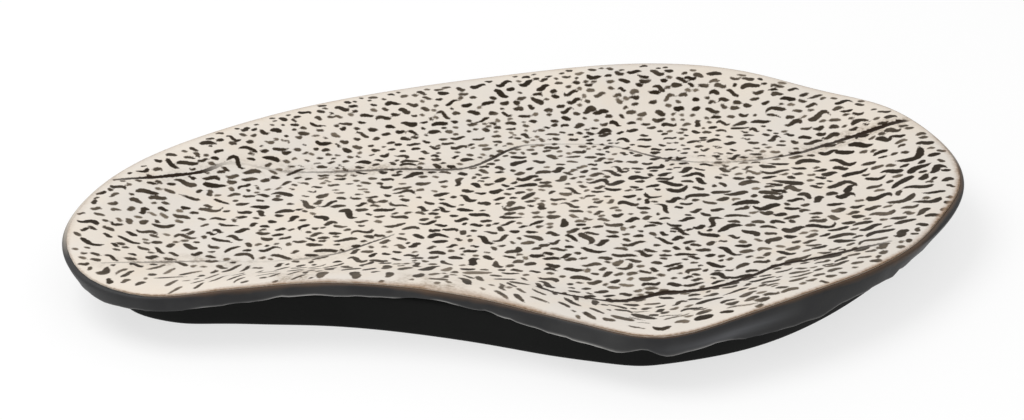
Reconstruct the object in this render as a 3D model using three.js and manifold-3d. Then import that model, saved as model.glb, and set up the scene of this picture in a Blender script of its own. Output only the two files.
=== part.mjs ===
// A hand-built stoneware serving platter: a draped clay slab with a waved rim, a cream slip coat with
// drawn creases over it, a strip foot under it and the coil that lutes the foot on.
// Millimetres, +Z up. The platter stands on z = 0, its long side lies along X and its front faces -Y.
import * as THREE from "three";
import { mergeVertices } from "three/addons/utils/BufferGeometryUtils.js";
import Module from "manifold-3d";

// Overall sizes
const platterLength = 400;
const platterWidth = 264;
const rimHeight = 27; // top of the clay rim where it is neither lifted nor dipped
const floorHeight = 17; // top of the clay floor
const wallWidth = 52; // plan width of the slope between the rim and the floor

// Clay slab
const slabThickness = 8.5;
const edgeThickness = 7.5; // height of the dark band round the rim
const edgeBlend = 20; // distance in which the rim's thickness becomes the slab's
const edgeUndercut = 1.2; // how far the band leans in below
const arrisRadius = 1.6; // round of the rim's top edge
const edgeWobble = 0.6; // unevenness of the band's lower edge
const edgeWobbleCounts = [11, 17]; // wobbles in one turn

// Cream slip coat
const coatThickness = 1;
const coatBorder = 0.5; // thickness that the coat runs out to at the rim
const creaseWidth = 1.8;
const creaseDepth = 0.6;

// Foot and its luting coil
const rimOverhang = 21; // from the rim in to the foot's outer face
const footWall = 9;
const footBevel = 1.2; // broken lower edges of the foot
const coilSize = 6;

const jointGap = 0.3; // slip layer between two luted or coated pieces

// Mesh fineness
const aroundSteps = 96;
const slopeShares = [0.08, 0.2, 0.34, 0.5, 0.66, 0.82, 1]; // rings down the slope
const floorShares = [0.35, 0.7]; // rings over the floor, on the way to the middle
const underShares = [0.15, 0.5]; // rings below the floor, from the coil to the middle
const creaseStep = 8;
const creaseSides = 8;

// The rim's outline in plan, from the left end over the back, drawn at the nominal size.
const outlineSketch = [
  [-196, -44],
  [-177, 18],
  [-116, 74],
  [-52, 105],
  [10, 121],
  [68, 126],
  [112, 122],
  [146, 108],
  [178, 85],
  [200, 42],
  [203, 4],
  [188, -38],
  [149, -88],
  [98, -123],
  [59, -138],
  [20, -124],
  [-20, -109],
  [-76, -101],
  [-118, -102],
  [-155, -102],
  [-184, -83],
];

// Where the rim rises or dips, as smooth waves: plan place on the sketch, height and half width.
const frontLift = { place: [-68, -102], rise: 5, halfWidth: 70 };
const lobeDip = { place: [-160, -100], rise: -2.4, halfWidth: 42 };
const pointDip = { place: [50, -136], rise: -1, halfWidth: 45 };
const rightLift = { place: [122, -103], rise: 4.2, halfWidth: 52 };
const backCrest = { place: [66, 126], rise: 4, halfWidth: 62 };
const backDip = { place: [146, 108], rise: -2.5, halfWidth: 30 };
const rimWaves = [frontLift, lobeDip, pointDip, rightLift, backCrest, backDip];

// Where the rim's dark band is deeper (or, below zero, thinner) than edgeThickness.
const rightSwell = { place: [126, -100], rise: 5.6, halfWidth: 60 };
const hollowThin = { place: [-45, -105], rise: -2.5, halfWidth: 42 };
const edgeSwells = [rightSwell, hollowThin];

// Where the band leans in by more than edgeUndercut.
const rightLean = { place: [190, -36], rise: 3.6, halfWidth: 62 };
const leftLean = { place: [-192, -62], rise: 1.5, halfWidth: 52 };
const edgeLeans = [rightLean, leftLean];

// Where the foot stands further in (or, below zero, further out) than rimOverhang, so that its line
// is rounder than the rim's.
const lobeFoot = { place: [-160, -102], rise: 6, halfWidth: 46 };
const hollowFoot = { place: [-6, -114], rise: -7.4, halfWidth: 60 };
const pointFoot = { place: [66, -137], rise: 4.2, halfWidth: 29 };
const rightFoot = { place: [112, -112], rise: -2.6, halfWidth: 38 };
const footWaves = [lobeFoot, hollowFoot, pointFoot, rightFoot];

// Slow waves of the floor: their height, and their length each way.
const floorWave = { rise: 0.7, along: 150, across: 120 };

// The creases drawn into the slip, in plan on the sketch.
const creaseSketches = {
  back: [
    [-174, 6],
    [-150, 16],
    [-128, 32],
    [-101, 30],
    [-56, 35],
    [-17, 39],
    [-1, 56],
    [30, 62],
    [56, 54],
    [80, 42],
    [114, 44],
    [140, 54],
    [160, 63],
    [178, 66],
  ],
  frontRight: [
    [10, -83],
    [18, -90],
    [42, -94],
    [64, -84],
    [90, -81],
    [110, -65],
    [127, -60],
    [146, -57],
    [164, -54],
  ],
  frontLeft: [
    [-180, -72],
    [-162, -64],
    [-144, -56],
    [-101, -54],
    [-78, -47],
    [-60, -35],
  ],
};

const wasm = await Module();
wasm.setup();

// Maps the sketch to the platter's own length and width, centred on the origin.
const sketchBox = new THREE.Box2().setFromPoints(
  new THREE.CatmullRomCurve3(outlineSketch.map(([x, y]) => new THREE.Vector3(x, y, 0)), true)
    .getSpacedPoints(aroundSteps)
    .map((p) => new THREE.Vector2(p.x, p.y)),
);
const sketchSize = sketchBox.getSize(new THREE.Vector2());
const sketchCentre = sketchBox.getCenter(new THREE.Vector2());

function placed([x, y]) {
  return new THREE.Vector3(
    ((x - sketchCentre.x) * platterLength) / sketchSize.x,
    ((y - sketchCentre.y) * platterWidth) / sketchSize.y,
    0,
  );
}

// A smooth hump round a place on the sketch, as high as its rise.
function hump(wave, point) {
  const away = Math.hypot(point.x - placed(wave.place).x, point.y - placed(wave.place).y);
  return wave.rise * Math.exp(-((away / wave.halfWidth) ** 2));
}

function humps(waves, point) {
  return waves.reduce((sum, wave) => sum + hump(wave, point), 0);
}

// Stations round the rim: each has its rim point, a spoke that leaves the rim squarely and bends to
// the middle, the rim's height, the depth and lean of its dark band and the foot's place.
const rimCurve = new THREE.CatmullRomCurve3(outlineSketch.map(placed), true);
const rimPoints = rimCurve.getSpacedPoints(aroundSteps).slice(0, aroundSteps);
const stations = rimPoints.map((rim, i) => {
  const before = rimPoints[(i + aroundSteps - 1) % aroundSteps];
  const after = rimPoints[(i + 1) % aroundSteps];
  const along = after.clone().sub(before).normalize();
  const inward = new THREE.Vector3(along.y, -along.x, 0);
  const bend = rim.clone().addScaledVector(inward, wallWidth);
  const turn = (2 * Math.PI * i) / aroundSteps;
  const wobble = edgeWobbleCounts.reduce((sum, count) => sum + Math.sin(count * turn), 0);
  return {
    spoke: new THREE.QuadraticBezierCurve3(rim, bend, new THREE.Vector3()),
    rimTop: rimHeight + humps(rimWaves, rim),
    bandDepth: edgeThickness + humps(edgeSwells, rim) + edgeWobble * wobble,
    bandLean: edgeUndercut + humps(edgeLeans, rim),
    footInset: rimOverhang + humps(footWaves, rim),
  };
});

// The plan point that lies the given distance in from the rim along a station's spoke.
function inFromRim(station, inset) {
  return station.spoke.getPointAt(inset / station.spoke.getLength());
}

function floorRipple(point) {
  const across = Math.cos((2 * Math.PI * point.y) / floorWave.across);
  return floorWave.rise * Math.sin((2 * Math.PI * point.x) / floorWave.along) * across;
}

// Height of the clay's top face: level at the rim, then a smooth slope down to the rippled floor.
function clayTop(station, inset) {
  const down = THREE.MathUtils.smoothstep(inset, 0, wallWidth);
  const floor = floorHeight + floorRipple(inFromRim(station, inset));
  return THREE.MathUtils.lerp(station.rimTop, floor, down);
}

function clayUnderside(station, inset) {
  const toSlab = THREE.MathUtils.smoothstep(inset, 0, edgeBlend);
  return clayTop(station, inset) - THREE.MathUtils.lerp(station.bandDepth, slabThickness, toSlab);
}

// An inset that lies a share of the way from another inset to the middle.
function towardsMiddle(insetOf, share) {
  return (station) => THREE.MathUtils.lerp(insetOf(station), station.spoke.getLength(), share);
}

// A ring of points, one for each station, at an inset and a height that may both vary by station.
function ring(insetOf, heightOf) {
  return stations.map((station) => {
    const inset = insetOf(station);
    return inFromRim(station, inset).setZ(heightOf(station, inset));
  });
}

// A closed surface over rings that follow one another. It ends in a fan at both ends, or, where
// looped is true, its last ring joins its first.
function loft(rings, looped = false) {
  const points = rings.flat();
  const faces = [];
  const bands = looped ? rings.length : rings.length - 1;
  for (let r = 0; r < bands; r++) {
    const near = r * aroundSteps;
    const far = ((r + 1) % rings.length) * aroundSteps;
    for (let i = 0; i < aroundSteps; i++) {
      const j = (i + 1) % aroundSteps;
      faces.push(near + i, near + j, far + i, near + j, far + j, far + i);
    }
  }
  if (!looped) {
    const last = (rings.length - 1) * aroundSteps;
    const first = points.push(middleOf(rings[0])) - 1;
    const end = points.push(middleOf(rings.at(-1))) - 1;
    for (let i = 0; i < aroundSteps; i++) {
      const j = (i + 1) % aroundSteps;
      faces.push(first, j, i, end, last + i, last + j);
    }
  }
  return new THREE.BufferGeometry().setFromPoints(points).setIndex(faces);
}

function middleOf(points) {
  const sum = points.reduce((total, p) => total.add(p), new THREE.Vector3());
  return sum.divideScalar(points.length);
}

function toSolid(geometry) {
  const bare = new THREE.BufferGeometry().setIndex(geometry.index);
  bare.setAttribute("position", geometry.getAttribute("position"));
  const merged = mergeVertices(bare);
  return new wasm.Manifold(
    new wasm.Mesh({
      numProp: 3,
      vertProperties: merged.getAttribute("position").array,
      triVerts: new Uint32Array(merged.index.array),
    }),
  );
}

function toGeometry(solid) {
  const mesh = solid.getMesh();
  const geometry = new THREE.BufferGeometry();
  geometry.setAttribute("position", new THREE.BufferAttribute(mesh.vertProperties, mesh.numProp));
  return geometry.setIndex(new THREE.BufferAttribute(mesh.triVerts, 1));
}

// Insets, from the rim in, of the rings that the clay's top and the slip coat share.
const topInsets = [
  () => arrisRadius,
  ...slopeShares.map((share) => () => share * wallWidth),
  ...floorShares.map((share) => towardsMiddle(() => wallWidth, share)),
];

// Insets of the foot's and the coil's faces.
const footOuter = (station) => station.footInset;
const footInner = (station) => station.footInset + footWall;
const coilOuter = (station) => footInner(station) + jointGap;
const coilInner = (station) => coilOuter(station) + coilSize;

function traySlab() {
  const half = arrisRadius * (1 - Math.SQRT1_2);
  const top = topInsets.map((inset) => ring(inset, clayTop)).reverse();
  const edge = [
    ring(() => half, (station) => station.rimTop - half),
    ring(() => 0, (station) => station.rimTop - arrisRadius),
    ring((station) => station.bandLean, (station) => station.rimTop - station.bandDepth),
  ];
  const underInsets = [
    (station) => station.footInset / 2,
    footOuter,
    footInner,
    coilInner,
    ...underShares.map((share) => towardsMiddle(coilInner, share)),
  ];
  const under = underInsets.map((inset) => ring(inset, clayUnderside));
  return loft([...top, ...edge, ...under]);
}

function slipCoat() {
  const border = topInsets[0];
  const top = topInsets.map((inset) => {
    const thickness = inset === border ? coatBorder : coatThickness;
    return ring(inset, (station, at) => clayTop(station, at) + jointGap + thickness);
  });
  const base = topInsets.map((inset) => ring(inset, (station, at) => clayTop(station, at) + jointGap));
  const plain = loft([...top.reverse(), ...base]);
  const cutters = Object.values(creaseSketches).map((sketch) => toSolid(creaseCutter(sketch, plain)));
  const cut = cutters.reduce((solid, cutter) => solid.subtract(cutter), toSolid(plain));
  return toGeometry(cut);
}

// A round bar that lies along a crease on the coat, sunk in by the crease's depth.
function creaseCutter(sketch, coat) {
  const radius = (creaseWidth ** 2 / 4 + creaseDepth ** 2) / (2 * creaseDepth);
  const line = new THREE.CatmullRomCurve3(sketch.map(placed));
  const steps = Math.round(line.getLength() / creaseStep);
  const surface = new THREE.Mesh(coat, new THREE.MeshBasicMaterial());
  const down = new THREE.Raycaster(new THREE.Vector3(), new THREE.Vector3(0, 0, -1));
  const path = line.getSpacedPoints(steps).map((point) => {
    down.ray.origin.set(point.x, point.y, 2 * rimHeight);
    return point.setZ(down.intersectObject(surface)[0].point.z + radius - creaseDepth);
  });
  const section = new THREE.Shape().absarc(0, 0, radius, 0, 2 * Math.PI);
  return new THREE.ExtrudeGeometry(section, {
    steps,
    curveSegments: creaseSides / 2,
    extrudePath: new THREE.CatmullRomCurve3(path),
  });
}

function footRing() {
  const seat = (station, inset) => clayUnderside(station, inset) - jointGap;
  return loft(
    [
      ring(footOuter, seat),
      ring(footOuter, () => footBevel),
      ring((station) => footOuter(station) + footBevel, () => 0),
      ring((station) => footInner(station) - footBevel, () => 0),
      ring(footInner, () => footBevel),
      ring(footInner, seat),
    ],
    true,
  );
}

// The coil fills the inside corner between the foot and the slab, with a hollow face.
function lutingCoil() {
  const seat = (station, inset) => clayUnderside(station, inset) - jointGap;
  const hollow = coilSize / 3;
  return loft(
    [
      ring(coilOuter, seat),
      ring(coilOuter, (station, inset) => seat(station, inset) - coilSize),
      ring((station) => coilOuter(station) + hollow, (station, inset) => seat(station, inset) - hollow),
      ring(coilInner, seat),
    ],
    true,
  );
}

const clay = new THREE.MeshStandardMaterial({ color: "#373736", roughness: 0.45, metalness: 0 });
const slip = new THREE.MeshStandardMaterial({ color: "#e3dcd1", roughness: 0.4, metalness: 0 });
const footClay = new THREE.MeshStandardMaterial({ color: "#1f201f", roughness: 0.6, metalness: 0 });

const pieces = {
  tray_slab: [traySlab(), clay],
  slip_coat: [slipCoat(), slip],
  foot_ring: [footRing(), footClay],
  luting_coil: [lutingCoil(), footClay],
};

const platter = new THREE.Group();
for (const [name, [geometry, material]] of Object.entries(pieces)) {
  const piece = new THREE.Mesh(geometry, material);
  piece.name = name;
  platter.add(piece);
}

export default platter;
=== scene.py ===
import math
import random
from functools import partial

import bmesh
import bpy
import numpy as np
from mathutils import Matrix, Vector, noise
from mathutils.bvhtree import BVHTree
from mathutils.kdtree import KDTree


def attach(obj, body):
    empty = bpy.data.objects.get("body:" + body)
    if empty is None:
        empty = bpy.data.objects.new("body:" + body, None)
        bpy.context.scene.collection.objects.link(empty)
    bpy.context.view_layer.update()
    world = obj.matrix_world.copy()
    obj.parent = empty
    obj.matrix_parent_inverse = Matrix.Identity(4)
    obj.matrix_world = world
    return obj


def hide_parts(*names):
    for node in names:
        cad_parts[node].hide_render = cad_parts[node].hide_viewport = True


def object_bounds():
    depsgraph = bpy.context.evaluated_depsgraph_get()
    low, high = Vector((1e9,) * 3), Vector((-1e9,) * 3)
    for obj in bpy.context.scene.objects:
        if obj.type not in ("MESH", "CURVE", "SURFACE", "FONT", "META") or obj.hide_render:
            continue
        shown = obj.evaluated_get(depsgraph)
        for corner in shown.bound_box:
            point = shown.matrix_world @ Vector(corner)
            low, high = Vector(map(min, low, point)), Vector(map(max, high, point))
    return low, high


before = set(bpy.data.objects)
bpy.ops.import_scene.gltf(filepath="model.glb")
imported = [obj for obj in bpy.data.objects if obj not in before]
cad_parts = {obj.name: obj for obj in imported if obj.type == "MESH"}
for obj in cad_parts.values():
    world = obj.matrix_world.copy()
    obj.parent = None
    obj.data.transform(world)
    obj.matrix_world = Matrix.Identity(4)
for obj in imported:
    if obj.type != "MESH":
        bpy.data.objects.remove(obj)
cadBox = [list(corner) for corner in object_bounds()]
scene = bpy.context.scene
mm = 0.001
print("frame loaded with nodes", ", ".join(sorted(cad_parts)))


# shared helpers

def linear(hexColour):
    channels = [int(hexColour[i:i + 2], 16) / 255 for i in (1, 3, 5)]
    return [c / 12.92 if c <= 0.04045 else ((c + 0.055) / 1.055) ** 2.4 for c in channels] + [1.0]


def addNode(material, kind, inputs=None, **settings):
    node = material.node_tree.nodes.new(kind)
    for name, value in settings.items():
        setattr(node, name, value)
    for socket, value in (inputs or {}).items():
        if isinstance(value, bpy.types.NodeSocket):
            material.node_tree.links.new(value, node.inputs[socket])
        else:
            node.inputs[socket].default_value = value
    return node


def newMaterial(name):
    material = bpy.data.materials.new(name)
    material.use_nodes = True
    return material, material.node_tree.nodes["Principled BSDF"]


def mergedCopy(nodeName):
    # the solid's loose triangles merged, and paired into four-sided faces
    widest = math.radians(60)
    bm = bmesh.new()
    bm.from_mesh(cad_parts[nodeName].data)
    bmesh.ops.remove_doubles(bm, verts=bm.verts, dist=1e-6)
    bmesh.ops.join_triangles(bm, faces=bm.faces, angle_face_threshold=widest,
                             angle_shape_threshold=widest)
    return bm


def asPiece(bm, name, levels=0):
    mesh = bpy.data.meshes.new(name)
    bm.to_mesh(mesh)
    bm.free()
    piece = bpy.data.objects.new(name, mesh)
    scene.collection.objects.link(piece)
    if levels:
        refine = piece.modifiers.new("refine", "SUBSURF")
        refine.levels = refine.render_levels = levels
        evaluated = piece.evaluated_get(bpy.context.evaluated_depsgraph_get())
        fine = bpy.data.meshes.new_from_object(evaluated)
        piece.modifiers.clear()
        if "custom_normal" in fine.attributes:
            fine.attributes.remove(fine.attributes["custom_normal"])
        piece.data = fine
        bpy.data.meshes.remove(mesh)
    piece.data.shade_smooth()
    return piece


def points(mesh):
    flat = np.empty(len(mesh.vertices) * 3)
    mesh.vertices.foreach_get("co", flat)
    return flat.reshape(-1, 3)


def store(mesh, name, values):
    layer = mesh.attributes.new(name, "FLOAT", "POINT")
    layer.data.foreach_set("value", np.asarray(values, dtype=np.float32))


def treeOf(rows):
    tree = KDTree(len(rows))
    for i, row in enumerate(rows):
        tree.insert(Vector((row[0], row[1], row[2] if len(row) > 2 else 0.0)), i)
    tree.balance()
    return tree


def alongX(places, table):
    # values of a table that is given by x in millimetres
    return np.interp(places[:, 0] / mm, *np.array(table).T)


def ramp(value, low, high, full=1.0):
    return full * min(1.0, max(0.0, (value - low) / (high - low)))


def patchShare(x, y, patches):
    return max(math.exp(-((x - a) ** 2 + (y - b) ** 2) / reach ** 2) for a, b, reach in patches)


def smoothLine(knots, spacing, closed=False):
    # Catmull-Rom through the knots, then evenly spaced points
    knots = np.asarray(knots, dtype=float)
    if closed:
        padded = np.vstack([knots[-1], knots, knots[0], knots[1]])
    else:
        padded = np.vstack([2 * knots[0] - knots[1], knots, 2 * knots[-1] - knots[-2]])
    t = np.linspace(0, 1, 24, endpoint=False)[:, None]
    runs = []
    for a, b, c, d in zip(padded, padded[1:], padded[2:], padded[3:]):
        runs.append(0.5 * (2 * b + (c - a) * t + (2 * a - 5 * b + 4 * c - d) * t ** 2
                           + (3 * b - a - 3 * c + d) * t ** 3))
    line = np.vstack(runs + [knots[:1] if closed else knots[-1:]])
    gone = np.r_[0, np.cumsum(np.linalg.norm(np.diff(line, axis=0), axis=1))]
    count = max(2, int(round(gone[-1] / spacing)))
    at = np.linspace(0, gone[-1], count + 1)
    even = np.stack([np.interp(at, gone, line[:, k]) for k in range(line.shape[1])], axis=1)
    return even[:-1] if closed else even


# clay tray: the solid's own shape, its lower edge eased and its faces refined, then the lower edge
# is made as uneven as a hand-cut one

traySet = {
    "levels": 2,
    "rimTurn": (0.0, 0.95),    # rise of the face normals that meet on the rim's outline
    "lowerTurn": (-0.8, 0.05),     # and on the lower edge
    "lowerEase": 0.7 * mm,
    "easeSegments": 2,
    "lobeWidth": 15 * mm,      # of the hanging lobes along the lower edge
    "lobeDrop": 2.6 * mm,
    "lobeLevel": 0.25,         # share of the drop by which the edge between lobes is drawn up
    "lobeCalm": [(-80, 0.4), (20, 1.0)],   # share of the lobes' drop, by x in millimetres
    # single lobes of the front: x, more drop and half width, in millimetres
    "frontLobes": [(22, 1.9, 15), (38, 1.6, 8), (48, -2.3, 6.5), (61, 1.8, 8), (92, 0.9, 10),
                   (121, 1.0, 8)],
    "nickWidth": 5.5 * mm,
    "nickRise": 0.5 * mm,
    "edgeReach": 3.2 * mm,     # how far from the lower edge the clay is uneven
    "highlightReach": 0.65 * mm,
    # by x in millimetres: the painted highlight on the lower edge, painted shade darkening the band and
    # a painted sheen streak along the band
    "highlightShare": [(-150, 0.3), (-135, 0.8), (-60, 0.5), (0, 0.8), (30, 1.0), (68, 1.0), (85, 0.4),
                  (150, 0.25)],
    "paintedShade": [(85, 0.0), (110, 0.26), (128, 0.4), (145, 0.56), (160, 0.62), (200, 0.5)],
    "streak": [(50, 0.0), (68, 0.5), (85, 1.0), (100, 0.6), (118, 0.0)],
    "sheenAway": (6.2, 2.2),  # millimetres from the slip's border to the painted sheen streak, and its half width
}


def loopOf(edges):
    beside = {}
    for e in edges:
        for v in e.verts:
            beside.setdefault(v, []).append(e.other_vert(v))
    loop = [edges[0].verts[0]]
    previous = None
    while True:
        ahead = next(v for v in beside[loop[-1]] if v is not previous)
        if ahead is loop[0]:
            return loop
        previous = loop[-1]
        loop.append(ahead)


def faceTurns(bm, low, high):
    # edges where a face whose normal rises less than low meets one that rises more, but less than high
    return [e for e in bm.edges if len(e.link_faces) == 2
            and min(f.normal.z for f in e.link_faces) < low
            and low < max(f.normal.z for f in e.link_faces) < high]


def makeTray(t):
    bm = mergedCopy("tray_slab")
    outline = np.array([v.co for v in loopOf(faceTurns(bm, *t["rimTurn"]))])
    lower = faceTurns(bm, *t["lowerTurn"])
    lowTree = treeOf(smoothLine([v.co for v in loopOf(lower)], spacing=0.5 * mm, closed=True))
    bmesh.ops.bevel(bm, geom=lower, offset=t["lowerEase"], segments=t["easeSegments"], profile=0.5,
                    affect="EDGES", material=-1)
    piece = asPiece(bm, "tray_clay", t["levels"])
    co = points(piece.data)
    toLow = np.array([lowTree.find(Vector(p))[2] for p in co])
    plan = [Vector((x, y, 0)) for x, y, _ in co]
    lobes = t["lobeLevel"] - np.abs([noise.noise(p / t["lobeWidth"]) for p in plan])
    nicks = np.array([noise.noise(p / t["nickWidth"]) for p in plan])
    uneven = t["lobeDrop"] * alongX(co, t["lobeCalm"]) * lobes + t["nickRise"] * nicks
    for x, drop, half in t["frontLobes"]:
        uneven -= drop * mm * (co[:, 1] < 0) * np.exp(-((co[:, 0] / mm - x) / half) ** 2)
    co[:, 2] += uneven * np.exp(-(toLow / t["edgeReach"]) ** 2)
    piece.data.vertices.foreach_set("co", co.ravel())
    # a pale painted highlight along the lower edge, broken into stretches in the material
    store(piece.data, "edgeHighlight", alongX(co, t["highlightShare"]) * np.exp(-(toLow / t["highlightReach"]) ** 2))
    return piece, outline


trayClay, outlineKnots = makeTray(traySet)
trayTree = BVHTree.FromPolygons([v.co for v in trayClay.data.vertices],
                                [p.vertices for p in trayClay.data.polygons])
rimLine = smoothLine(outlineKnots, spacing=1 * mm, closed=True)
rimTree = treeOf(rimLine[:, :2])
print("tray clay:", len(trayClay.data.polygons), "faces, rim", len(rimLine), "mm round")


def clayTop(x, y):
    hit = trayTree.ray_cast(Vector((x, y, 1.0)), Vector((0, 0, -1)))
    return hit[0].z if hit[0] else None


def rimDistance(x, y):
    return rimTree.find(Vector((x, y, 0.0)))[2]


# camera at the photograph's angle

cameraSet = {
    "aim": (-4.4 * mm, 6 * mm, 15 * mm),
    "elevation": 27,
    "distance": 1330 * mm,
    "pixelsAcross": 1024,
    "millimetresPerPixel": 0.4496,
}


def makeCamera(c):
    data = bpy.data.cameras.new("camera")
    data.sensor_fit = "HORIZONTAL"
    data.lens = data.sensor_width * c["distance"] / (c["millimetresPerPixel"] * mm * c["pixelsAcross"])
    camera = bpy.data.objects.new("camera", data)
    tilt = math.radians(c["elevation"])
    away = Vector((0, -math.cos(tilt), math.sin(tilt)))
    camera.location = Vector(c["aim"]) + away * c["distance"]
    camera.rotation_euler = away.to_track_quat("Z", "Y").to_euler()
    scene.collection.objects.link(camera)
    scene.camera = camera
    print("camera:", round(data.lens), "mm lens,", c["elevation"], "degrees up")


makeCamera(cameraSet)

# creases drawn through the slip, which follow the solids' creases: each knot is its place in plan, the
# line's strength, its half width and the strength of the brown stain with painted shade beside it, in
# millimetres and shares

creaseSet = {
    "back": [
        (-184, 12, 0.8, 0.8, 0.2), (-168, 17, 1.0, 1.1, 0.3), (-146, 28, 1.0, 1.1, 0.3),
        (-132, 38, 0.15, 0.8, 0.2), (-105, 37, 0.4, 0.9, 0.6), (-60, 41, 0.8, 1.0, 0.6),
        (-26, 42, 0.85, 0.9, 0.3), (-5, 62, 0.95, 1.0, 0.1), (5, 67, 0.4, 0.7, 0.0),
        (26, 68, 0.22, 0.6, 0.0), (43, 66, 0.4, 0.7, 0.0), (64, 54, 0.9, 0.9, 0.1),
        (78, 49, 0.5, 0.8, 0.5), (91, 48, 0.25, 0.8, 1.0), (108, 50, 0.6, 0.8, 0.7),
        (128, 57, 0.85, 1.0, 0.5), (144, 65, 0.95, 1.2, 0.7), (168, 71, 1.0, 1.5, 1.0),
        (181, 75, 0.9, 1.2, 0.8)],
    "frontRight": [
        (6, -77, 0.9, 1.1, 0.1), (14, -84, 1.0, 1.3, 0.2), (26, -87, 1.0, 1.3, 0.3),
        (38, -88, 1.0, 1.6, 0.4), (49, -83, 1.0, 1.8, 0.4), (60, -78, 1.0, 2.1, 0.4),
        (75, -77, 1.0, 1.9, 0.3), (86, -74, 1.0, 1.8, 0.4), (94, -69, 1.0, 1.5, 0.3),
        (101, -64, 1.0, 1.3, 0.2), (106, -59, 1.0, 1.3, 0.2), (114, -55, 1.0, 1.7, 0.3),
        (123, -54, 1.0, 1.5, 0.3), (133, -53, 1.0, 1.9, 0.4), (142, -51, 0.95, 1.6, 0.3),
        (152, -49, 0.8, 1.2, 0.2), (160, -47, 0.4, 1.0, 0.2)],
    "frontLeft": [
        (-180, -65, 0.3, 0.6, 0.3), (-154, -52, 0.6, 0.9, 0.6), (-135, -49, 0.35, 0.7, 0.5),
        (-112, -49, 0.1, 0.7, 0.3), (-84, -43, 0.6, 0.7, 0.3), (-64, -29, 0.9, 0.6, 0.1),
        (-56, -23, 0.5, 0.5, 0.0)],
}


def creaseRows(knots):
    # one row each half millimetre: the knot's five values, then the line's heading
    rows = smoothLine(knots, spacing=0.5)
    rows[:, :2] *= mm
    rows[[0, -1], 2] = 0
    return np.column_stack([rows, np.gradient(rows[:, :2], axis=0)])


creases = {name: creaseRows(knots) for name, knots in creaseSet.items()}
allCreases = np.vstack(list(creases.values()))
creaseTree = treeOf(allCreases[:, :2])
print("creases:", ", ".join(f"{name} {len(rows) // 2} mm" for name, rows in creases.items()))

# brush marks on the slip: short strokes in plan and millimetres, which keep clear of one another,
# those of a single zone first and then the large ones; clear below zero lets some of them touch
# a zone changes the strokes in it: how much longer, wider and more faded they are as a share, which
# share is left out, and the angle that they take there, or how far they turn along the rim
# where gives a measure, where the zone begins along it and where it is full; belowLine is measured
# from the frontLeft crease, inset from the rim, and patches are a place and a reach

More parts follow.
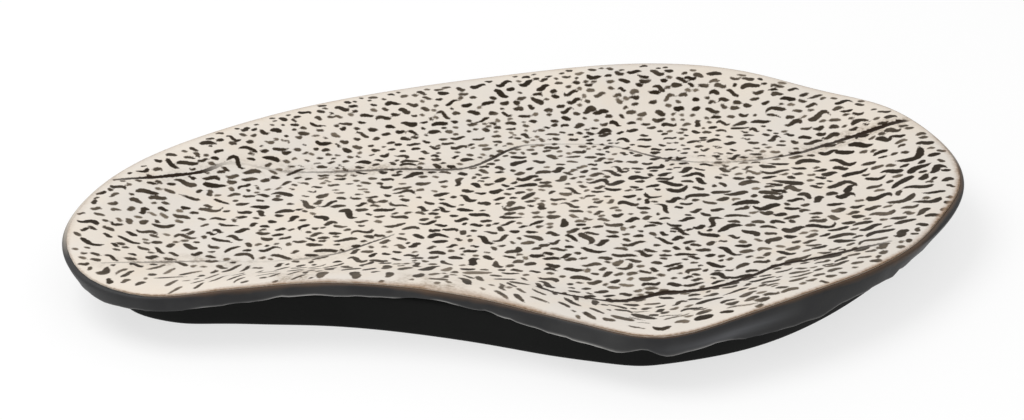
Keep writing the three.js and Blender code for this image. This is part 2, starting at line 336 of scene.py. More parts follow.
markSet = {
    "seed": 27,
    "kinds": {
        "streak": {"count": 28, "length": (7.0, 17.0), "halfWidth": (0.65, 1.1), "clear": (0.2, 1.6),
                   "fade": (0.1, 0.85), "curl": 0.2, "only": "streaks",
                   "within": ((-192, -96), (-55, -45))},
        "smear": {"count": 16, "length": (7.5, 14.0), "halfWidth": (1.5, 2.3), "clear": (0.8, 2.5),
                  "fade": (0.0, 0.8), "curl": 0.4, "only": "slope",
                  "within": ((-110, -96), (-5, -62))},
        "drop": {"count": 22, "length": (7.0, 13.0), "halfWidth": (0.9, 1.6), "clear": (0.5, 2.0),
                 "fade": (0.1, 0.6), "curl": 0.25, "only": "fall",
                 "within": ((-55, -125), (60, -50))},
        "hair": {"count": 8, "length": (5.0, 11.0), "halfWidth": (0.2, 0.4), "clear": (0.2, 1.0),
                 "fade": (0.3, 0.9), "curl": 0.3, "only": "point",
                 "within": ((20, -132), (125, -85))},
        "fine": {"count": 46, "length": (2.5, 5.5), "halfWidth": (0.45, 0.75), "clear": (0.0, 0.6),
                 "fade": (0.1, 0.7), "only": "dense",
                 "within": ((-125, 10), (125, 75))},
        "bold": {"count": 440, "length": (5.0, 11.5), "halfWidth": (0.9, 1.65), "clear": (-0.6, 1.5),
                 "fade": (0.0, 0.3)},
        "middle": {"count": 640, "length": (3.2, 6.2), "halfWidth": (0.85, 1.4), "clear": (0.2, 1.5),
                   "fade": (0.0, 0.6)},
        "speck": {"count": 560, "length": (1.8, 3.1), "halfWidth": (0.65, 1.1), "clear": (0.4, 1.4),
                  "fade": (0.1, 0.95)},
    },
    "zones": {
        "right": {"where": [("x", 20, 110)],
                  "longer": 0.35, "wider": 0.2, "faded": -0.1, "fewer": 0.1},
        "left": {"where": [("x", 0, -70)],
                 "wider": -0.06, "fewer": 0.36},
        "back": {"where": [("y", 35, 55), ("x", 10, -20)],
                 "longer": -0.25, "wider": -0.12, "faded": -0.05},
        "crest": {"where": [("y", 35, 60), ("x", -30, 10), ("x", 100, 75)],
                  "longer": -0.32, "wider": -0.08, "faded": -0.05},
        "streaks": {"where": [("belowLine", 0, 8), ("x", -80, -100)],
                    "faded": 0.1, "fewer": 0.93, "angle": 1.0},
        "slope": {"where": [("y", -30, -45), ("inset", 44, 36), ("x", -100, -80), ("x", -15, -40)],
                  "faded": 0.05, "fewer": 0.93, "angle": 1.2},
        "fall": {"where": [("y", -30, -45), ("inset", 36, 28), ("x", -40, -25), ("x", 45, 30)],
                 "longer": 0.1, "wider": -0.1, "faded": 0.1, "fewer": 0.9, "angle": -1.15},
        "point": {"where": [("y", -30, -45), ("inset", 34, 26), ("x", 30, 50), ("x", 110, 90)],
                  "wider": 0.25, "faded": 0.05, "fewer": 0.55, "alongRim": 0.8},
        "lip": {"where": [("y", -30, -45), ("inset", 30, 24), ("x", 80, 100)],
                "wider": 0.05, "faded": 0.2, "alongRim": 0.6},
        "small": {"patches": [(112, 76, 30), (135, -74, 28), (112, -84, 20), (0, 79, 13), (36, 0, 14),
                              (76, -62, 17)],
                  "longer": -0.3, "wider": -0.3, "faded": 0.1},
        "dense": {"patches": [(-88, 36, 20), (94, 48, 15)]},
    },
    "rightEases": (45, 70, 0.7),   # y from and to which the right zone gives way, and how much of it
    "slant": 0.45,             # spread of the stroke angle about the platter's length, radians
    "zoneSlant": 0.2,          # and about a zone's own angle
    "rightTurn": (60, 20, 0.15),   # y from and to which strokes of the right zone turn, and how far
    "steadyRight": (90, 150, 0.25),    # x from and to which the spread narrows, and its share
    "steadyBack": (20, 60, 0.35),  # the same by y
    "bow": 0.17, "wave": 0.12,     # spread of a stroke's bend as a share of its length
    "lean": 0.6,               # how much thicker one end may be
    "leastHalf": 0.12,         # half width at a stroke's tips
    "fadePatch": 45,           # width of the patches in which strokes are more or less faded
    "fadeDrift": (0.8, 1.2),   # the fade's mean share and its swing from patch to patch
    "triesEach": 60,
    "rimMargin": (2.0, 6.0),
    "creaseMargin": (-1.2, 1.2),
    "cell": 6.0,
    "steps": 9,
}


def zoneShares(x, y, m):
    measures = {
        "x": x, "y": y,
        "inset": rimDistance(x * mm, y * mm) / mm,
        "belowLine": np.interp(x, *np.array(creaseSet["frontLeft"])[:, :2].T) - y,
    }
    shares = {}
    for name, zone in m["zones"].items():
        if "patches" in zone:
            shares[name] = patchShare(x, y, zone["patches"])
        else:
            shares[name] = math.prod(ramp(measures[key], low, high) for key, low, high in zone["where"])
    shares["back"] *= 1 - shares["crest"]
    shares["left"] *= 1 - shares["back"]
    shares["right"] *= 1 - shares["crest"]
    shares["right"] *= 1 - ramp(y, *m["rightEases"])
    return shares


def rimHeading(x, y):
    # angle of the nearest stretch of rim to the platter's length, a quarter turn at most
    nearest = rimTree.find(Vector((x * mm, y * mm, 0)))[1]
    run = rimLine[(nearest + 1) % len(rimLine)] - rimLine[nearest - 1]
    return math.atan(run[1] / run[0]) if run[0] else math.pi / 2


def makeStroke(x, y, kind, shares, m, rng):
    change = {name: sum(m["zones"][zone].get(name, 0) * share for zone, share in shares.items())
              for name in ("longer", "wider", "faded")}
    length = rng.uniform(*kind["length"]) * (1 + change["longer"])
    half = rng.uniform(*kind["halfWidth"]) * (1 + change["wider"])
    steadier = ramp(x, *m["steadyRight"]) + ramp(y, *m["steadyBack"])
    angle = rng.gauss(shares["right"] * ramp(y, *m["rightTurn"]), m["slant"] * (1 - steadier))
    for name, share in shares.items():
        zone = m["zones"][name]
        if not {"angle", "alongRim"} & set(zone) or rng.random() > share:
            continue
        turned = zone["angle"] if "angle" in zone else zone["alongRim"] * rimHeading(x, y)
        angle = rng.gauss(turned, m["zoneSlant"])
    curl = kind.get("curl", 1.0) * length
    bow = rng.gauss(0, m["bow"]) * curl
    wave = rng.gauss(0, m["wave"]) * curl
    lean = rng.uniform(-m["lean"], m["lean"])
    mean, swing = m["fadeDrift"]
    patch = max(0.0, mean + swing * noise.noise(Vector((x, y, 0)) / m["fadePatch"]))
    fade = rng.uniform(*kind["fade"]) * patch + change["faded"]
    t = np.linspace(-1, 1, m["steps"])
    across = bow * (1 - t ** 2) + wave * np.sin(math.pi * t)
    along = 0.5 * length * t
    radius = half * (1 - np.abs(t) ** 3) ** 0.6 * (1 + lean * t) + m["leastHalf"]
    c, s = math.cos(angle), math.sin(angle)
    stroke = np.column_stack([x + c * along - s * across, y + s * along + c * across, radius])
    return stroke, min(1.0, max(0.0, fade))


def isClear(stroke, clear, rimMargin, creaseMargin, cells, m):
    for x, y, r in stroke:
        spot = Vector((x * mm, y * mm, 0))
        if clayTop(*spot.xy) is None or rimTree.find(spot)[2] < (rimMargin + r) * mm:
            return False
        if creaseTree.find(spot)[2] < (creaseMargin + r) * mm:
            return False
        column, row = int(x // m["cell"]), int(y // m["cell"])
        for i in (column - 1, column, column + 1):
            for j in (row - 1, row, row + 1):
                for a, b, c in cells.get((i, j), ()):
                    if (x - a) ** 2 + (y - b) ** 2 < max(0.0, r + c + clear) ** 2:
                        return False
    return True


def layStrokes(m):
    rng = random.Random(m["seed"])
    whole = [np.array(corner[:2]) / mm for corner in cadBox]
    cells, strokes = {}, []
    for kind in m["kinds"].values():
        low, high = kind.get("within", whole)
        laid = 0
        for _ in range(kind["count"] * m["triesEach"]):
            x, y = rng.uniform(low[0], high[0]), rng.uniform(low[1], high[1])
            clear = rng.uniform(*kind["clear"])
            margins = rng.uniform(*m["rimMargin"]), rng.uniform(*m["creaseMargin"])
            if clayTop(x * mm, y * mm) is None:
                continue
            shares = zoneShares(x, y, m)
            if "only" in kind:
                leftOut = 1 - shares[kind["only"]]
            else:
                leftOut = max(m["zones"][zone].get("fewer", 0) * share for zone, share in shares.items())
            if rng.random() < leftOut:
                continue
            stroke, fade = makeStroke(x, y, kind, shares, m, rng)
            if not isClear(stroke, clear, *margins, cells, m):
                continue
            for px, py, pr in stroke:
                cells.setdefault((int(px // m["cell"]), int(py // m["cell"])), []).append((px, py, pr))
            strokes.append((stroke, fade))
            laid += 1
            if laid == kind["count"]:
                break
    return strokes


strokes = layStrokes(markSet)
print("brush marks:", len(strokes))

# cream slip over the dish: an even grid, drawn out to the rim, laid on the clay and refined

slipSet = {
    "cell": 7.7 * mm,
    "gridMargin": 0.75,        # share of a cell that the grid keeps clear of the rim
    "evenOut": 40,             # passes that even out the border's steps
    "relax": 24,
    "levels": 3,
    "setback": (1.3 * mm, 0.8 * mm),   # from the rim's outline in to the slip's border, front and back
    "endSetback": (1.5 * mm, 0.9 * mm),    # more at the left and right end
    "endReach": 45 * mm,
    "moreSetback": [(188, -24, 1.6, 24)],  # millimetres: place, how much more and reach
    "frontEnds": (-42 * mm, 44 * mm),  # y where front gives way to back, at the left and right end
    "frontFade": 40 * mm,
    "backTone": 0.25,          # strength of the border's tan at the back, partly painted shade
    "frontTone": [(-188, 0.3), (-155, 1.0)],   # and along the front, by x in millimetres
    "backWash": 1.8 * mm,      # how far the slip is washed over the rim at the back
    # along the front: x, how far in the slip thins to tan, partly painted shade where the lip curves
    # over, how far down the clay turns brown
    "frontRuns": [(-200, 1.5, 0.1), (-160, 2.0, 0.2), (-118, 4.0, 2.8), (-60, 5.0, 1.2),
                  (-28, 8.0, 3.2), (10, 3.5, 1.0), (44, 2.2, 0.7), (90, 2.5, 1.0), (130, 3.0, 2.4),
                  (165, 3.2, 3.6), (185, 3.2, 2.2), (200, 3.2, 2.0)],
    "backRuns": (4.0, 0.6),
    "thickness": 1.3 * mm,     # from the clay to the slip's top
    "borderThickness": 0.5 * mm,
    "borderRun": 5 * mm,       # distance in which the slip reaches its thickness
    "lift": 0.3 * mm,          # from the clay to the slip's base
    "borderLift": 0.05 * mm,
    "creaseDepth": 0.55 * mm,
    "creaseReach": 1.6 * mm,
    "creaseFar": 5 * mm,       # no line is drawn further from a crease than this
    "unevenness": 0.16 * mm,
    "unevenLength": 26 * mm,
    "markReach": 3.0,          # millimetres to which the distance to a mark is kept
    "smudges": [(-96, -85, 9), (-88, -74, 8), (-42, -90, 9), (-32, -92, 7)],   # place and reach, mm
}


def slipThickness(inset, s):
    return s["borderThickness"] + (s["thickness"] - s["borderThickness"]) * (
        1 - np.clip(1 - inset / s["borderRun"], 0, 1) ** 2)


def frontShare(plan, s):
    ends = [cadBox[0][0], cadBox[1][0]]
    change = np.interp(plan[:, 0], ends, s["frontEnds"])
    return np.clip(0.5 + (change - plan[:, 1]) / s["frontFade"], 0, 1)


def borderLine(s):
    ahead = np.roll(rimLine, -1, axis=0) - np.roll(rimLine, 1, axis=0)
    inward = np.column_stack([-ahead[:, 1], ahead[:, 0]])
    inward /= np.linalg.norm(inward, axis=1)[:, None]
    if np.dot(inward[0], rimLine[:, :2].mean(0) - rimLine[0, :2]) < 0:
        inward = -inward
    leftMore, rightMore = s["endSetback"]
    fromLeft = (rimLine[:, 0] - rimLine[:, 0].min()) / s["endReach"]
    fromRight = (rimLine[:, 0].max() - rimLine[:, 0]) / s["endReach"]
    front = frontShare(rimLine, s)
    setback = front * s["setback"][0] + (1 - front) * s["setback"][1]
    setback += leftMore * np.exp(-fromLeft ** 2) + rightMore * np.exp(-fromRight ** 2)
    for x, y, more, reach in s["moreSetback"]:
        away = np.hypot(rimLine[:, 0] / mm - x, rimLine[:, 1] / mm - y)
        setback += more * mm * np.exp(-(away / reach) ** 2)
    return smoothLine(rimLine[:, :2] + inward * setback[:, None], spacing=0.25 * mm, closed=True)


slipBorder = borderLine(slipSet)
borderTree = treeOf(slipBorder)


def borderRuns(plan, s):
    # how far the slip thins to tan, and how far the clay turns brown, in millimetres
    knots = np.array(s["frontRuns"])
    front = frontShare(plan, s)
    return [front * alongX(plan, knots[:, [0, k + 1]]) + (1 - front) * s["backRuns"][k] for k in (0, 1)]


def gridOnClay(s):
    bm = bmesh.new()
    low, high = Vector(cadBox[0]), Vector(cadBox[1])
    across = [int((high[k] - low[k]) / s["cell"]) for k in (0, 1)]
    bmesh.ops.create_grid(bm, x_segments=across[0], y_segments=across[1], size=0.5)
    bmesh.ops.scale(bm, vec=Vector((across[0] * s["cell"], across[1] * s["cell"], 1)), verts=bm.verts)
    bmesh.ops.translate(bm, vec=(low + high).to_2d().to_3d() / 2, verts=bm.verts)
    outside = [v for v in bm.verts if clayTop(v.co.x, v.co.y) is None
               or rimDistance(v.co.x, v.co.y) < s["gridMargin"] * s["cell"]]
    bmesh.ops.delete(bm, geom=outside, context="VERTS")
    # corners that hang on one face only would fold when drawn out to the rim
    while True:
        spurs = [f for f in bm.faces if sum(e.is_boundary for e in f.edges) > 2]
        if not spurs:
            break
        bmesh.ops.delete(bm, geom=spurs, context="FACES")
    return bm


def drawOutToBorder(bm, s):
    total = len(slipBorder)
    edges = [e for e in bm.edges if e.is_boundary]
    bmesh.ops.extrude_edge_only(bm, edges=edges)
    loop = loopOf([e for e in bm.edges if e.is_boundary])
    at = np.array([borderTree.find(v.co.to_2d().to_3d())[1] for v in loop], dtype=float)
    turns = np.diff(np.r_[at, at[0]])
    turns = (turns + total / 2) % total - total / 2
    at = at[0] + np.r_[0, np.cumsum(turns[:-1])]
    whole = total * np.sign(turns.sum())
    for _ in range(s["evenOut"]):
        before = np.r_[at[-1] - whole, at[:-1]]
        after = np.r_[at[1:], at[0] + whole]
        at = 0.5 * at + 0.25 * (before + after)
    for v, place in zip(loop, at):
        v.co.xy = slipBorder[int(round(place)) % total]
    inner = [v for v in bm.verts if not v.is_boundary]
    for _ in range(s["relax"]):
        bmesh.ops.smooth_vert(bm, verts=inner, factor=0.5, use_axis_x=True, use_axis_y=True)


def layOnClay(bm, s):
    for v in bm.verts:
        inset = borderTree.find(v.co.to_2d().to_3d())[2]
        v.co.z = clayTop(v.co.x, v.co.y) + slipThickness(inset, s)


def markDistance(plan, s):
    # signed distance to the nearest stroke, positive inside, and how faded that stroke is
    best = np.full(len(plan), -s["markReach"])
    fade = np.zeros(len(plan))
    for stroke, strokeFade in strokes:
        low = (stroke[:, :2] - stroke[:, 2:]).min(0) - s["markReach"]
        high = (stroke[:, :2] + stroke[:, 2:]).max(0) + s["markReach"]
        near = np.flatnonzero(((plan > low) & (plan < high)).all(1))
        if not len(near):
            continue
        p = plan[near]
        inside = np.full(len(near), -s["markReach"])
        for a, b in zip(stroke, stroke[1:]):
            run = b[:2] - a[:2]
            t = np.clip(((p - a[:2]) @ run) / max(run @ run, 1e-9), 0, 1)
            away = np.linalg.norm(p - a[:2] - t[:, None] * run, axis=1)
            inside = np.maximum(inside, a[2] + t * (b[2] - a[2]) - away)
        wins = inside > best[near]
        best[near[wins]] = inside[wins]
        fade[near[wins]] = strokeFade
    return best, fade


def makeSlip(s):
    bm = gridOnClay(s)
    drawOutToBorder(bm, s)
    layOnClay(bm, s)
    bmesh.ops.recalc_face_normals(bm, faces=bm.faces)
    if sum(f.normal.z for f in bm.faces) < 0:
        bmesh.ops.reverse_faces(bm, faces=bm.faces)
    base = bm.copy()
    piece = asPiece(bm, "cream_slip", s["levels"])
    mesh = piece.data
    co = points(mesh)
    plan = co[:, :2]
    inset = np.array([borderTree.find(Vector((x, y, 0)))[2] for x, y in plan])
    toCrease = np.array([creaseTree.find(Vector((x, y, 0)))[1:] for x, y in plan])
    rows = allCreases[toCrease[:, 0].astype(int)]
    groove = s["creaseDepth"] * rows[:, 2] * np.exp(-(toCrease[:, 1] / s["creaseReach"]) ** 2)
    uneven = np.array([noise.noise(Vector((x, y, 0)) / s["unevenLength"]) for x, y in plan])
    co[:, 2] += s["unevenness"] * uneven * np.clip(inset / s["borderRun"], 0, 1) - groove
    mesh.vertices.foreach_set("co", co.ravel())
    mark, fade = markDistance(plan / mm, s)
    store(mesh, "mark", mark)
    store(mesh, "fade", fade)
    # distance to the crease with its side, so that it runs evenly through zero on the line
    side = np.sign(rows[:, 5] * (plan[:, 1] - rows[:, 1]) - rows[:, 6] * (plan[:, 0] - rows[:, 0]))
    store(mesh, "crease", side * toCrease[:, 1] / mm)
    store(mesh, "creaseTone", rows[:, 2] * (toCrease[:, 1] < s["creaseFar"]))
    store(mesh, "creaseHalf", rows[:, 3])
    store(mesh, "creaseStainAndShade", rows[:, 4])
    store(mesh, "smudge", [patchShare(x / mm, y / mm, s["smudges"]) for x, y in plan])
    store(mesh, "rimInset", inset / mm)
    store(mesh, "rimRun", borderRuns(plan, s)[0])
    frontTone = alongX(plan, s["frontTone"])
    store(mesh, "rimTone", s["backTone"] + (frontTone - s["backTone"]) * frontShare(plan, s))
    closeSlip(mesh, base, s)
    return piece


def closeSlip(mesh, base, s):
    # a plain base under the fine top face, joined to it round the border
    for v in base.verts:
        v.co.z = clayTop(v.co.x, v.co.y) + (s["borderLift"] if v.is_boundary else s["lift"])
    bmesh.ops.reverse_faces(base, faces=base.faces)
    spare = bpy.data.meshes.new("slip_base")
    base.to_mesh(spare)
    base.free()
    bm = bmesh.new()
    bm.from_mesh(mesh)
    bm.from_mesh(spare)
    bpy.data.meshes.remove(spare)
    bmesh.ops.bridge_loops(bm, edges=[e for e in bm.edges if e.is_boundary])
    for f in bm.faces:
        f.smooth = True
    bm.to_mesh(mesh)
    bm.free()


creamSlip = makeSlip(slipSet)
print("cream slip:", len(creamSlip.data.polygons), "faces")


def storeBreak(tray, s, t):
    # where the clay's glaze breaks brown below the slip or is washed over, and where painted shade and a
    # painted sheen streak lie on it
    border = treeOf([(x, y, clayTop(x, y)) for x, y in slipBorder])
    away = np.array([border.find(v.co)[2] for v in tray.data.vertices])
    plan = points(tray.data)[:, :2]
    front = frontShare(plan, s)
    middle, half = t["sheenAway"]
    streak = alongX(plan, t["streak"]) * np.exp(-((away / mm - middle) / half) ** 2)
    store(tray.data, "slipAway", away / mm / borderRuns(plan, s)[1])
    store(tray.data, "wash", (1 - front) * np.exp(-(away / s["backWash"]) ** 4))
    # painted shade, darkening the band's front towards the right end
    store(tray.data, "paintedShade", front * alongX(plan, t["paintedShade"]))
    # a paler streak along the band: a painted sheen
    store(tray.data, "streak", front * streak)


storeBreak(trayClay, slipSet, traySet)

# foot and luting coil: the solids' shapes with eased edges

footSet = {"levels": 2, "hold": 0.6, "holdFrom": 30}   # how firmly edges over 30 degrees are held


def makeFoot(f):
    bm = mergedCopy("foot_ring")
    hold = bm.edges.layers.float.new("crease_edge")
    for e in bm.edges:
        if len(e.link_faces) == 2 and e.calc_face_angle(0) > math.radians(f["holdFrom"]):
            e[hold] = f["hold"]
    return asPiece(bm, "foot_ring_clay", f["levels"])


footClay = makeFoot(footSet)
coilClay = asPiece(mergedCopy("luting_coil"), "luting_coil_clay", footSet["levels"])
print("foot:", len(footClay.data.polygons), "faces, coil:", len(coilClay.data.polygons), "faces")


# cream slip under a satin clear glaze, brushed with iron oxide: warm white, a little uneven, with
# dark soft-edged strokes, pigment pooled in the creases with painted shade beside them, and a tan and
# brown break where it thins at the rim, the tan partly painted shade

slipLook = {
    "cream": "#eae0d3", "cool": "#e4ddd4", "warm": "#e7d9c7",
    "ink": "#241b0e", "inkEdge": "#37291b", "inkFaded": "#766a5b",
    # beside the creases the brown is pooled pigment with painted shade of the folds; the tan at the rim
    # is thinning slip, partly painted shade where the lip curves over
    "line": "#261a0f", "stainAndShade": "#847057", "thinAndShade": "#a88f79", "rimBreak": "#7d6650",
    "noises": {"cloud": 60, "patch": 18, "blot": 7, "rag": 1.5},    # widths in mm
    # drawn from a noise: the span of it that is used, and the values at that span's ends
    "shares": {
        "cool": ("cloud", 0.4, 0.62, 0.0, 1.0),
        "warm": ("patch", 0.52, 0.78, 0.0, 0.6),
        "loaded": ("blot", 0.35, 0.65, 1.7, 0.3),      # of a stroke's fade, less where the brush is full
        "cloudy": ("blot", 0.38, 0.65, 0.0, 1.0),      # of the stain and its painted shade
        "specked": ("rag", 0.4, 0.6, 0.3, 1.0),
        "swell": ("blot", 0.0, 1.0, 0.4, 1.6),         # of the crease line's half width
        "comes": ("patch", 0.35, 0.6, 0.55, 1.0),      # of the tan and brown at the rim
    },
    "edgeSoft": 0.3, "fadeSoft": 0.4, "edgeRagged": 1.0, "core": 0.7,   # mm, of strokes
    "lineSoft": (-0.25, 0.2), "stainAndShadeReach": 9.0,   # mm, of creases
    # at the rim: how ragged the change is, and where it begins and is full
    "thinAndShadeSpan": (-0.6, 0.7, -0.3), "breakSpan": (-2.0, 0.2, -1.0),
    "roughness": 0.5, "specular": 0.07,
    "proud": 0.5, "peelStrength": 0.2, "peelHeight": 0.08 * mm,
}


def slipMaterial(look):
    material, shader = newMaterial("slip_glazed_stoneware")
    add = partial(addNode, material)
    place = add("ShaderNodeTexCoord").outputs["Object"]
    stored = {name: add("ShaderNodeAttribute", attribute_name=name).outputs["Fac"]
              for name in ("mark", "fade", "crease", "creaseTone", "creaseHalf", "creaseStainAndShade",
                           "smudge", "rimInset", "rimRun", "rimTone")}
    drawn = {}
    for name, width in look["noises"].items():
        texture = add("ShaderNodeTexNoise", {"Vector": place, "Scale": 1 / (width * mm), "Detail": 2.0})
        drawn[name] = texture.outputs["Fac"]
    for name, (source, low, high, atLow, atHigh) in look["shares"].items():
        drawn[name] = add("ShaderNodeMapRange", {
            "Value": drawn[source], "From Min": low, "From Max": high,
            "To Min": atLow, "To Max": atHigh}).outputs["Result"]
    # strokes with a ragged edge, darkest in the middle
    edge = add("ShaderNodeMath", {0: drawn["rag"], 1: look["edgeRagged"], 2: -0.5 * look["edgeRagged"]},
               operation="MULTIPLY_ADD").outputs["Value"]
    depth = add("ShaderNodeMath", {0: stored["mark"], 1: edge}, operation="ADD").outputs["Value"]
    outer = add("ShaderNodeMath", {0: stored["fade"], 1: -look["fadeSoft"], 2: -look["edgeSoft"]},
                operation="MULTIPLY_ADD").outputs["Value"]
    inMark = add("ShaderNodeMapRange", {"Value": depth, "From Min": outer, "From Max": look["edgeSoft"]},
                 interpolation_type="SMOOTHSTEP").outputs["Result"]
    inCore = add("ShaderNodeMapRange", {"Value": depth, "From Max": look["core"]}).outputs["Result"]
    fade = add("ShaderNodeMath", {0: stored["fade"], 1: drawn["loaded"]}, operation="MULTIPLY",
               use_clamp=True).outputs["Value"]
    ink = linear(look["inkEdge"])
    for tone, share in (("ink", inCore), ("inkFaded", fade)):
        ink = add("ShaderNodeMix", {"Factor": share, "A": ink, "B": linear(look[tone])},
                  data_type="RGBA").outputs["Result"]
    # brown beside the creases, pooled pigment with painted shade of the folds, and in a few smudges
    away = add("ShaderNodeMath", {0: stored["crease"]}, operation="ABSOLUTE").outputs["Value"]
    stainAndShade = add("ShaderNodeMapRange", {"Value": away, "From Min": look["stainAndShadeReach"], "From Max": 0.0},
                interpolation_type="SMOOTHSTEP").outputs["Result"]
    stainAndShade = add("ShaderNodeMath", {0: stainAndShade, 1: stored["creaseStainAndShade"], 2: stored["smudge"]},
                operation="MULTIPLY_ADD").outputs["Value"]
    for share in ("cloudy", "specked"):
        stainAndShade = add("ShaderNodeMath", {0: stainAndShade, 1: drawn[share]}, operation="MULTIPLY").outputs["Value"]
    # dark line in the creases, thick and thin
    half = add("ShaderNodeMath", {0: stored["creaseHalf"], 1: drawn["swell"]},
               operation="MULTIPLY").outputs["Value"]
    line = add("ShaderNodeMath", {0: half, 1: away}, operation="SUBTRACT").outputs["Value"]
    line = add("ShaderNodeMath", {0: line, 1: edge}, operation="ADD").outputs["Value"]
    line = add("ShaderNodeMapRange", {"Value": line, "From Min": look["lineSoft"][0],
                                      "From Max": look["lineSoft"][1]},
               interpolation_type="SMOOTHSTEP").outputs["Result"]
    line = add("ShaderNodeMath", {0: line, 1: stored["creaseTone"]},
               operation="MULTIPLY").outputs["Value"]
    # thins to tan towards the rim, partly painted shade where the lip curves over, and breaks brown on
    # it
    comes = add("ShaderNodeMath", {0: drawn["comes"], 1: stored["rimTone"]},
                operation="MULTIPLY").outputs["Value"]
    inRun = add("ShaderNodeMath", {0: stored["rimInset"], 1: stored["rimRun"]},
                operation="DIVIDE").outputs["Value"]
    atRim = []
    for inset, span in ((inRun, look["thinAndShadeSpan"]), (stored["rimInset"], look["breakSpan"])):
        ragged, begins, full = span
        share = add("ShaderNodeMath", {0: drawn["rag"], 1: ragged, 2: inset},
                    operation="MULTIPLY_ADD").outputs["Value"]
        share = add("ShaderNodeMapRange", {"Value": share, "From Min": begins, "From Max": full},
                    interpolation_type="SMOOTHSTEP").outputs["Result"]
        atRim.append(add("ShaderNodeMath", {0: share, 1: comes}, operation="MULTIPLY").outputs["Value"])
    colour = linear(look["cream"])
    for share, over in ((drawn["cool"], linear(look["cool"])), (drawn["warm"], linear(look["warm"])),
                        (stainAndShade, linear(look["stainAndShade"])), (inMark, ink), (line, linear(look["line"])),
                        (atRim[0], linear(look["thinAndShade"])), (atRim[1], linear(look["rimBreak"]))):
        colour = add("ShaderNodeMix", {"Factor": share, "A": colour, "B": over},
                     data_type="RGBA").outputs["Result"]
    material.node_tree.links.new(colour, shader.inputs["Base Color"])
    shader.inputs["Roughness"].default_value = look["roughness"]
    shader.inputs["Specular IOR Level"].default_value = look["specular"]
    # strokes stand slightly proud of the glaze's soft peel
    height = add("ShaderNodeMath", {0: inMark, 1: look["proud"], 2: drawn["rag"]},
                 operation="MULTIPLY_ADD").outputs["Value"]
    bump = add("ShaderNodeBump", {"Height": height, "Strength": look["peelStrength"],
                                  "Distance": look["peelHeight"]})
    material.node_tree.links.new(bump.outputs["Normal"], shader.inputs["Normal"])
    return material


# charcoal satin glaze over dark stoneware: near black, mottled, brown where it breaks over the rim's
# top edge, with a pale painted highlight on the lower edge, painted shade towards the band's right end
# and a painted sheen streak along the band

clayLook = {
    # the darkest of these is painted shade towards the band's right end, the grey a painted sheen streak
    # and the near white a painted highlight on the lower edge
    "charcoal": "#343435", "mottle": "#444444", "paintedShade": "#0b0c0d", "streak": "#5e5f62",
    "brown": "#5f4a39", "wash": "#d3c9bc", "paintedHighlight": "#f4f2ee",
    "noises": {"drift": 30, "cloud": 22, "patch": 11, "grain": 1.8},    # widths in mm
    # drawn from a noise: the span of it that is used, and the values at that span's ends
    "shares": {
        "mottle": ("cloud", 0.4, 0.7, 0.0, 1.0),
        "highlightGaps": ("drift", 0.36, 0.5, 0.0, 1.0),        # of the painted highlight on the lower edge
        "roughness": ("cloud", 0.35, 0.65, 0.36, 0.54),
    },
    "brownSpan": (0.5, -0.6),      # where the brown begins and is full
    "specular": 0.12,
    "grainStrength": 0.3, "grainHeight": 0.15 * mm,
}


def clayMaterial(look):
    material, shader = newMaterial("charcoal_glazed_stoneware")
    add = partial(addNode, material)
    place = add("ShaderNodeTexCoord").outputs["Object"]
    stored = {name: add("ShaderNodeAttribute", attribute_name=name).outputs["Fac"]
              for name in ("slipAway", "wash", "edgeHighlight", "paintedShade", "streak")}
    drawn = {}
    for name, width in look["noises"].items():
        texture = add("ShaderNodeTexNoise", {"Vector": place, "Scale": 1 / (width * mm), "Detail": 3.0})
        drawn[name] = texture.outputs["Fac"]
    for name, (source, low, high, atLow, atHigh) in look["shares"].items():
        drawn[name] = add("ShaderNodeMapRange", {
            "Value": drawn[source], "From Min": low, "From Max": high,
            "To Min": atLow, "To Max": atHigh}).outputs["Result"]
    reach = add("ShaderNodeMath", {0: stored["slipAway"], 1: drawn["patch"]},
                operation="SUBTRACT").outputs["Value"]
    begins, full = look["brownSpan"]
    brown = add("ShaderNodeMapRange", {"Value": reach, "From Min": begins,
                                       "From Max": full}).outputs["Result"]
    # painted highlight on the lower edge, left out in stretches
    paintedHighlight = add("ShaderNodeMath", {0: stored["edgeHighlight"], 1: drawn["highlightGaps"]},
               operation="MULTIPLY").outputs["Value"]
    # the mottle is the glaze's own; the darkest tone is painted shade, the grey a painted sheen and the
    # near white a painted highlight
    colour = linear(look["charcoal"])
    for tone, share in (("mottle", drawn["mottle"]), ("paintedShade", stored["paintedShade"]),
                        ("streak", stored["streak"]), ("brown", brown), ("wash", stored["wash"]),
                        ("paintedHighlight", paintedHighlight)):
        colour = add("ShaderNodeMix", {"Factor": share, "A": colour, "B": linear(look[tone])},
                     data_type="RGBA").outputs["Result"]
    material.node_tree.links.new(colour, shader.inputs["Base Color"])
    material.node_tree.links.new(drawn["roughness"], shader.inputs["Roughness"])
    shader.inputs["Specular IOR Level"].default_value = look["specular"]
    bump = add("ShaderNodeBump", {"Height": drawn["grain"], "Strength": look["grainStrength"],
                                  "Distance": look["grainHeight"]})
    material.node_tree.links.new(bump.outputs["Normal"], shader.inputs["Normal"])
    return material


# bare black stoneware of the foot: matt, with a fine grog grain

footLook = {
    "black": "#0c0d0c", "dust": "#151615",
    "noises": (12, 0.9),           # widths of the clouds and the grog in mm
    "roughness": 0.65, "specular": 0.17,
    "grogStrength": 0.4, "grogHeight": 0.12 * mm,
}


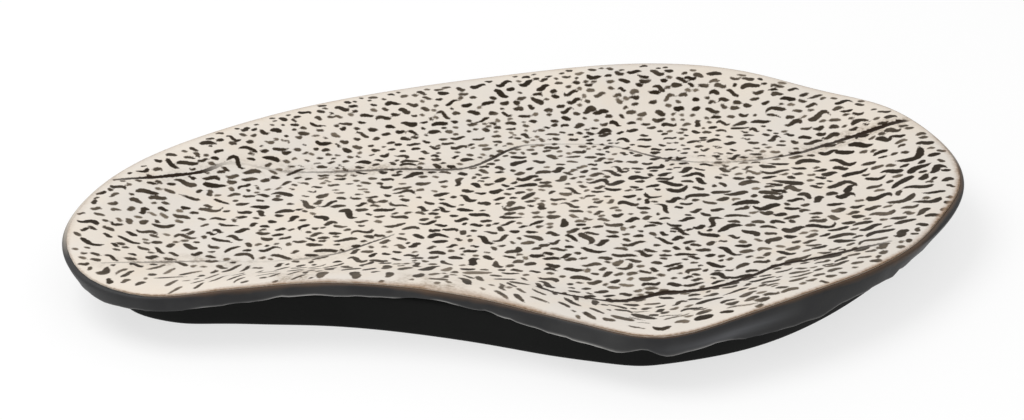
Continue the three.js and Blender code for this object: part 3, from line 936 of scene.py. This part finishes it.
def footMaterial(look):
    material, shader = newMaterial("black_stoneware")
    add = partial(addNode, material)
    place = add("ShaderNodeTexCoord").outputs["Object"]
    cloud, grog = [add("ShaderNodeTexNoise", {"Vector": place, "Scale": 1 / (width * mm), "Detail": 3.0})
                   for width in look["noises"]]
    colour = add("ShaderNodeMix", {"Factor": cloud.outputs["Fac"], "A": linear(look["black"]),
                                   "B": linear(look["dust"])}, data_type="RGBA").outputs["Result"]
    material.node_tree.links.new(colour, shader.inputs["Base Color"])
    shader.inputs["Roughness"].default_value = look["roughness"]
    shader.inputs["Specular IOR Level"].default_value = look["specular"]
    bump = add("ShaderNodeBump", {"Height": grog.outputs["Fac"], "Strength": look["grogStrength"],
                                  "Distance": look["grogHeight"]})
    material.node_tree.links.new(bump.outputs["Normal"], shader.inputs["Normal"])
    return material


blackStoneware = footMaterial(footLook)
creamSlip.data.materials.append(slipMaterial(slipLook))
trayClay.data.materials.append(clayMaterial(clayLook))
footClay.data.materials.append(blackStoneware)
coilClay.data.materials.append(blackStoneware)

for piece, node, slot in ((creamSlip, "slip_coat", "cream_slip"),
                          (trayClay, "tray_slab", "dark_stoneware"),
                          (footClay, "foot_ring", "foot_stoneware"),
                          (coilClay, "luting_coil", "foot_stoneware")):
    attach(piece, "root")
    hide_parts(node)
print("materials on, pieces ride on the root")

# pale floor, white world and soft studio light

stageSet = {
    "floorHalf": 4.0, "floorColour": "#d9d9d9", "floorGap": 0.1 * mm,
    "floorSeen": "#989898", "floorGlow": 0.7,      # as the camera sees it: darker, with a glow added
    "worldStrength": 0.6,
    "backdrop": ("Is Glossy Ray", "Is Transmission Ray"),  # rays that see what the camera sees
    "key": {"place": (-0.8, -0.1, 1.5), "size": 1.2, "power": 13.0},
    "fill": {"place": (0.6, -1.3, 1.1), "size": 1.0, "power": 2.0},
}


def makeFloor(s):
    bm = bmesh.new()
    bmesh.ops.create_grid(bm, x_segments=1, y_segments=1, size=s["floorHalf"])
    bmesh.ops.translate(bm, vec=(0, 0, -s["floorGap"]), verts=bm.verts)
    floor = asPiece(bm, "floor")
    material, shader = newMaterial("white_floor")
    add = partial(addNode, material)
    rays = add("ShaderNodeLightPath").outputs
    seen = rays["Is Camera Ray"]
    for ray in s["backdrop"]:
        seen = add("ShaderNodeMath", {0: seen, 1: rays[ray]}, operation="MAXIMUM").outputs["Value"]
    colour = add("ShaderNodeMix", {"Factor": seen, "A": linear(s["floorColour"]),
                                   "B": linear(s["floorSeen"])}, data_type="RGBA").outputs["Result"]
    glow = add("ShaderNodeMath", {0: seen, 1: s["floorGlow"]}, operation="MULTIPLY").outputs["Value"]
    material.node_tree.links.new(colour, shader.inputs["Base Color"])
    material.node_tree.links.new(glow, shader.inputs["Emission Strength"])
    shader.inputs["Emission Color"].default_value = (1, 1, 1, 1)
    shader.inputs["Roughness"].default_value = 1.0
    shader.inputs["Specular IOR Level"].default_value = 0.0
    floor.data.materials.append(material)


def makeWorld(s):
    world = bpy.data.worlds.new("studio")
    world.use_nodes = True
    scene.world = world
    background = world.node_tree.nodes["Background"]
    background.inputs["Color"].default_value = (1, 1, 1, 1)
    add = partial(addNode, world)
    rays = add("ShaderNodeLightPath").outputs
    seen = rays["Is Camera Ray"]
    for ray in s["backdrop"]:
        seen = add("ShaderNodeMath", {0: seen, 1: rays[ray]}, operation="MAXIMUM").outputs["Value"]
    strength = add("ShaderNodeMapRange", {"Value": seen, "To Min": s["worldStrength"],
                                          "To Max": 1.0}).outputs["Result"]
    world.node_tree.links.new(strength, background.inputs["Strength"])


def makeLamp(name, lamp):
    data = bpy.data.lights.new(name, "AREA")
    data.shape = "DISK"
    data.size = lamp["size"]
    data.energy = lamp["power"]
    lampObject = bpy.data.objects.new(name, data)
    lampObject.location = lamp["place"]
    lampObject.rotation_euler = Vector(lamp["place"]).to_track_quat("Z", "Y").to_euler()
    scene.collection.objects.link(lampObject)


makeFloor(stageSet)
makeWorld(stageSet)
makeLamp("key", stageSet["key"])
makeLamp("fill", stageSet["fill"])
scene.view_settings.view_transform = "Standard"
print("stage and lights set")
